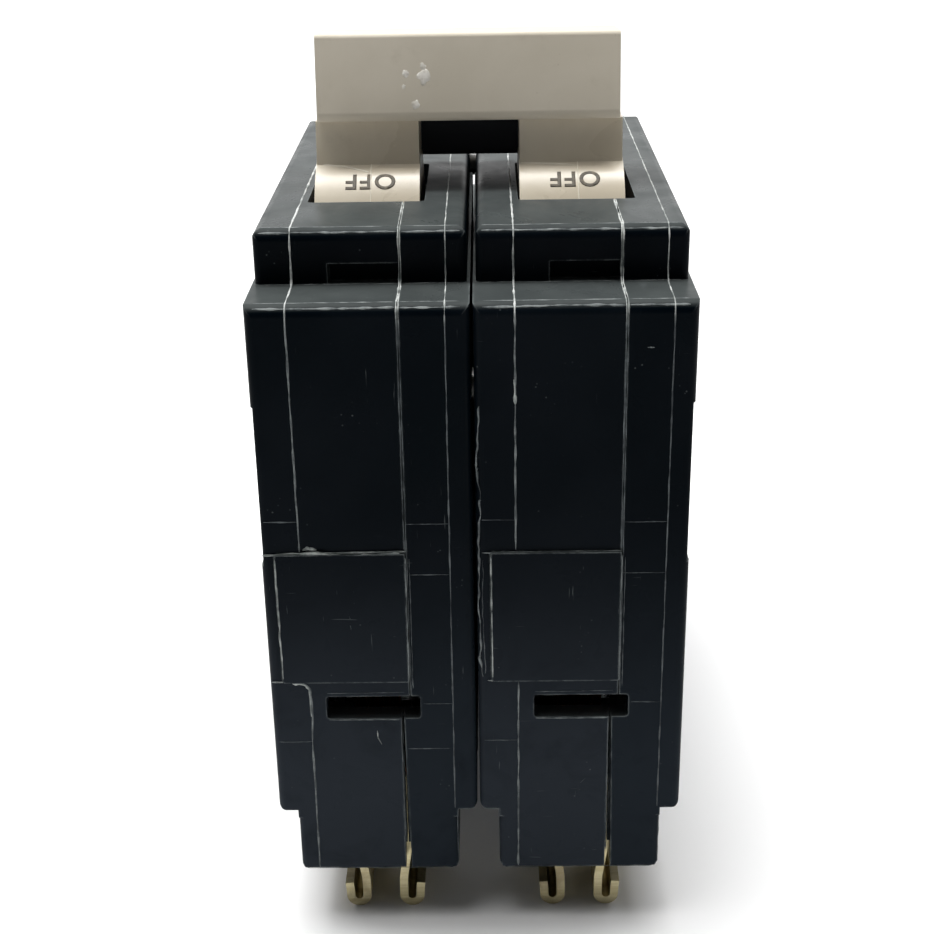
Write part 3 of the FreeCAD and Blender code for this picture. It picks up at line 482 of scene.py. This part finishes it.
front("scratch_f", 2, [(0.05, -46.9), (0.5, -46.4)], 76.0, 0.07, 0.012, y=0.0, mat=BEAD)
front("scratch_g", 2, [(5.1, -3.9), (5.7, -3.9)], 77.0, 0.10, 0.015, y=0.0, mat=BEAD_A)
front("flash_blob_2", 2, [(-6.0, -6.6), (-5.93, -7.6), (-5.94, -8.9)], 78.0, 0.26, 0.06, r=0.5, mat=BEAD_P)
front("pad_lump_1", 1, [(-5.6, -22.35), (-5.1, -22.15), (-4.4, -22.35)], 79.0, 0.34, 0.10, r=0.4, mat=BEAD_P)


def drum_point(pole, x, ang, lift=0.0):
    """Point on the drum: ang in degrees from straight up towards the line end."""
    a = math.radians(ang)
    r = DRUM_R + lift
    return Vector((x + POLE[pole] + HDX[pole], PIV[0] - r * math.sin(a) + YS, PIV[1] + r * math.cos(a) + ZS))


def drum_text(name, pole, word, ang, height, shift=0.0):
    cu = bpy.data.curves.new(name + "_c", "FONT")
    cu.body = word
    cu.align_x = "CENTER"
    cu.align_y = "CENTER"
    cu.size = 1.0
    cu.space_character = 1.12
    cu.resolution_u = 4
    cu.offset = 0.020
    tmp = bpy.data.objects.new(name + "_c", cu)
    bpy.context.scene.collection.objects.link(tmp)
    dg = bpy.context.evaluated_depsgraph_get()
    me = bpy.data.meshes.new_from_object(tmp.evaluated_get(dg))
    bpy.data.objects.remove(tmp)
    bpy.data.curves.remove(cu)
    bm = bmesh.new()
    bm.from_mesh(me)
    bpy.data.meshes.remove(me)
    xs = [v.co.x for v in bm.verts]
    ys = [v.co.y for v in bm.verts]
    k = height / (max(ys) - min(ys))
    cx, cy = (max(xs) + min(xs)) / 2, (max(ys) + min(ys)) / 2
    bmesh.ops.triangulate(bm, faces=bm.faces)
    bmesh.ops.subdivide_edges(bm, edges=bm.edges, cuts=2, use_grid_fill=True)
    bmesh.ops.triangulate(bm, faces=bm.faces)
    # a print of real thickness: lifted top and a skirt down into the drum
    flat = [(v, v.co.copy()) for v in bm.verts]
    for v, c in flat:
        u, w = (c.x - cx) * k * 1.05, (c.y - cy) * k
        v.co = drum_point(pole, -u + shift, ang + math.degrees(w / DRUM_R), 0.025) * MM
    ext = bmesh.ops.extrude_face_region(bm, geom=bm.faces[:])
    down = [g for g in ext["geom"] if isinstance(g, bmesh.types.BMVert)]
    ctr = Vector((0, (PIV[0] + YS) * MM, (PIV[1] + ZS) * MM))
    for v in down:
        d = Vector((0, v.co.y - ctr.y, v.co.z - ctr.z)).normalized()
        v.co -= d * 0.05 * MM
    return new_mesh(name, bm, INK, "handle", smooth=False)


for p in (1, 2):
    drum_text("print_off_%d" % p, p, "OFF", 39.5, 1.75, 0.30)
    drum_text("print_on_%d" % p, p, "ON", -74.0, 1.75)
    # mould lines on the drum: one down the middle, one stepped across below the stem; real ridges, tinted lighter as a
    # painted highlight
    mid = 0.31 if p == 1 else 0.58
    steps = {1: [(-4.68, 22.1), (-2.2, 24.5), (mid - 0.15, 31.0), (mid, 22.2), (2.4, 20.4), (4.68, 18.7)],
             2: [(-4.68, 23.4), (-2.2, 24.4), (mid - 0.12, 26.2), (mid, 17.6), (2.4, 16.9), (4.68, 16.3)]}[p]
    ctr = Vector((0.0, PIV[0] + YS, PIV[1] + ZS))
    for nm, seq, w in (("drum_line", [(mid, 21 + i * 1.5) for i in range(26)], 0.11),
                       ("drum_step_a", steps[:3], 0.16), ("drum_step_b", steps[3:], 0.16)):
        fine = resample([Vector(q) for q in seq], 0.6) if nm != "drum_line" else [Vector(q) for q in seq]
        line = [drum_point(p, q.x, q.y) for q in fine]
        nr = [Vector((0.0, q.y - ctr.y, q.z - ctr.z)).normalized() for q in line]
        bead("%s_%d" % (nm, p), line, nr, w, 0.04, 40 + p, "handle", TAN_RIDGE_HIGHLIGHT, 0.5)


def chip(name, x, h, size, seed):
    """A raised flake on the tie bar's leaning front face; h is the height up the face from its lower edge, in mm."""
    k = math.tan(math.radians(10.0))
    c = Vector((x, 20.0 + h * k + YS, 11.05 + h + ZS))
    nn = Vector((0, -1, k)).normalized()
    up = Vector((0, k, 1)).normalized()
    bm = bmesh.new()
    top = bm.verts.new((c + nn * 0.10 * size) * MM)
    rings = []
    for j, f in enumerate((0.35, 0.7, 1.0)):
        ring = []
        for i in range(18):
            a = 2 * math.pi * i / 18
            rr = size * f * (0.75 + 0.5 * noise.noise(Vector((math.cos(a) * 1.3 + seed, math.sin(a) * 1.3, f))))
            hh = (0.10 * (1 - f) + 0.05 * noise.noise(Vector((a, seed, f * 3)))) * size - (0.03 if j == 2 else 0.0)
            ring.append(bm.verts.new((c + Vector((1, 0, 0)) * rr * math.cos(a) + up * rr * math.sin(a) + nn * hh) * MM))
        rings.append(ring)
    for i in range(18):
        bm.faces.new((top, rings[0][i], rings[0][(i + 1) % 18]))
        for a, b in zip(rings, rings[1:]):
            bm.faces.new((a[i], b[i], b[(i + 1) % 18], a[(i + 1) % 18]))
    bm.faces.new(rings[-1][::-1])
    return new_mesh(name, bm, CHIP, "handle")


chip("tie_chip_1", -4.16, 3.90, 0.95, 1.0)
chip("tie_chip_2", -4.25, 4.85, 0.50, 2.0)
chip("tie_chip_3", -4.95, 1.55, 0.62, 3.0)
chip("tie_chip_4", -5.85, 4.30, 0.50, 4.0)
chip("tie_chip_5", -6.00, 3.15, 0.34, 5.0)

# ------------------------------------------------------------------ floor, light, camera
def plane(name, x0, x1, y0, y1, z):
    me = bpy.data.meshes.new(name)
    me.from_pydata([(x0, y0, z), (x1, y0, z), (x1, y1, z), (x0, y1, z)], [], [(0, 1, 2, 3)])
    ob = bpy.data.objects.new(name, me)
    bpy.context.scene.collection.objects.link(ob)
    return ob


floor = plane("floor", -6, 6, -6, 6, -0.00002)
k = M("floor_pale")
fn = k.noise(6, 3, 0.5)
floor.data.materials.append(k.set(k.mix(k.ramp(fn, 0.3, 0.7), (0.93, 0.93, 0.93, 1), (0.96, 0.96, 0.96, 1)), 0.7, 0.0, spec=0.2))

world = bpy.data.worlds.new("world")
bpy.context.scene.world = world
world.use_nodes = True
wt = world.node_tree
wt.nodes.clear()
wo = wt.nodes.new("ShaderNodeOutputWorld")
bg_cam = wt.nodes.new("ShaderNodeBackground")
bg_cam.inputs[0].default_value = (1, 1, 1, 1)
bg_cam.inputs[1].default_value = 1.05
bg = wt.nodes.new("ShaderNodeBackground")
tc = wt.nodes.new("ShaderNodeTexCoord")
sep = wt.nodes.new("ShaderNodeSeparateXYZ")
wt.links.new(tc.outputs["Generated"], sep.inputs[0])
WALL, SIDE, ROOM = 2.1, 0.30, 0.05


def wramp(src, a, b, lo, hi):
    k = wt.nodes.new("ShaderNodeMapRange")
    k.interpolation_type = "SMOOTHSTEP"
    for nm, v in zip(("From Min", "From Max", "To Min", "To Max"), (a, b, lo, hi)):
        k.inputs[nm].default_value = v
    wt.links.new(src, k.inputs["Value"])
    return k.outputs[0]


def wmath(op, a, b):
    k = wt.nodes.new("ShaderNodeMath")
    k.operation = op
    for sock, v in zip(k.inputs, (a, b)):
        if isinstance(v, float):
            sock.default_value = v
        else:
            wt.links.new(v, sock)
    return k.outputs[0]


# soft room: dim all round, a bright low wall behind
wall = wmath("MULTIPLY", wramp(sep.outputs["Y"], 0.25, 0.85, 0.0, 1.0), wramp(sep.outputs["Z"], 0.75, 0.40, 0.0, 1.0))
side = wmath("MULTIPLY", wramp(wmath("ABSOLUTE", sep.outputs["X"], 0.0), 0.30, 0.75, 0.0, 1.0),
             wramp(sep.outputs["Z"], 0.32, 0.62, 0.0, 1.0))
level = wmath("ADD", wmath("ADD", wmath("MULTIPLY", wall, WALL), wmath("MULTIPLY", side, SIDE)), ROOM)
lp = wt.nodes.new("ShaderNodeLightPath")
mx = wt.nodes.new("ShaderNodeMixShader")
wt.links.new(level, bg.inputs[1])
wt.links.new(lp.outputs["Is Camera Ray"], mx.inputs[0])
wt.links.new(bg.outputs[0], mx.inputs[1])
wt.links.new(bg_cam.outputs[0], mx.inputs[2])
wt.links.new(mx.outputs[0], wo.inputs[0])


def area(name, loc, target, sx, sy, power):
    d = bpy.data.lights.new(name, "AREA")
    d.shape = "RECTANGLE"
    d.size, d.size_y = sx, sy
    d.energy = power
    ob = bpy.data.objects.new(name, d)
    bpy.context.scene.collection.objects.link(ob)
    ob.location = loc
    ob.rotation_euler = (Vector(target) - Vector(loc)).to_track_quat("-Z", "Y").to_euler()
    return ob


area("overhead_strip", (0.0, 0.02, 0.62), (0, 0.0, 0.06), 0.55, 0.10, 2.2)
area("overhead_soft", (-0.22, 0.22, 1.3), (0, 0.0, 0.0), 1.2, 1.0, 23.5)

cam_d = bpy.data.cameras.new("cam")
cam_d.sensor_fit = "HORIZONTAL"
cam_d.sensor_width = 36.0
cam_d.lens = 36.0 * 1589.3448 / 934.0
cam_d.clip_start, cam_d.clip_end = 0.005, 50.0
cam = bpy.data.objects.new("cam", cam_d)
bpy.context.scene.collection.objects.link(cam)
R = [(0.99983351, 0.00852102, -0.01613498), (-0.01145797, -0.39499284, -0.91861274), (-0.01420072, 0.91864468, -0.39482945)]
C = (0.0013871539, -0.1631268393, 0.1018428617)
cam.matrix_world = Matrix(((R[0][0], -R[1][0], -R[2][0], C[0]), (R[0][1], -R[1][1], -R[2][1], C[1]),
                           (R[0][2], -R[1][2], -R[2][2], C[2]), (0, 0, 0, 1)))
bpy.context.scene.camera = cam
bpy.context.scene.view_settings.view_transform = "Standard"
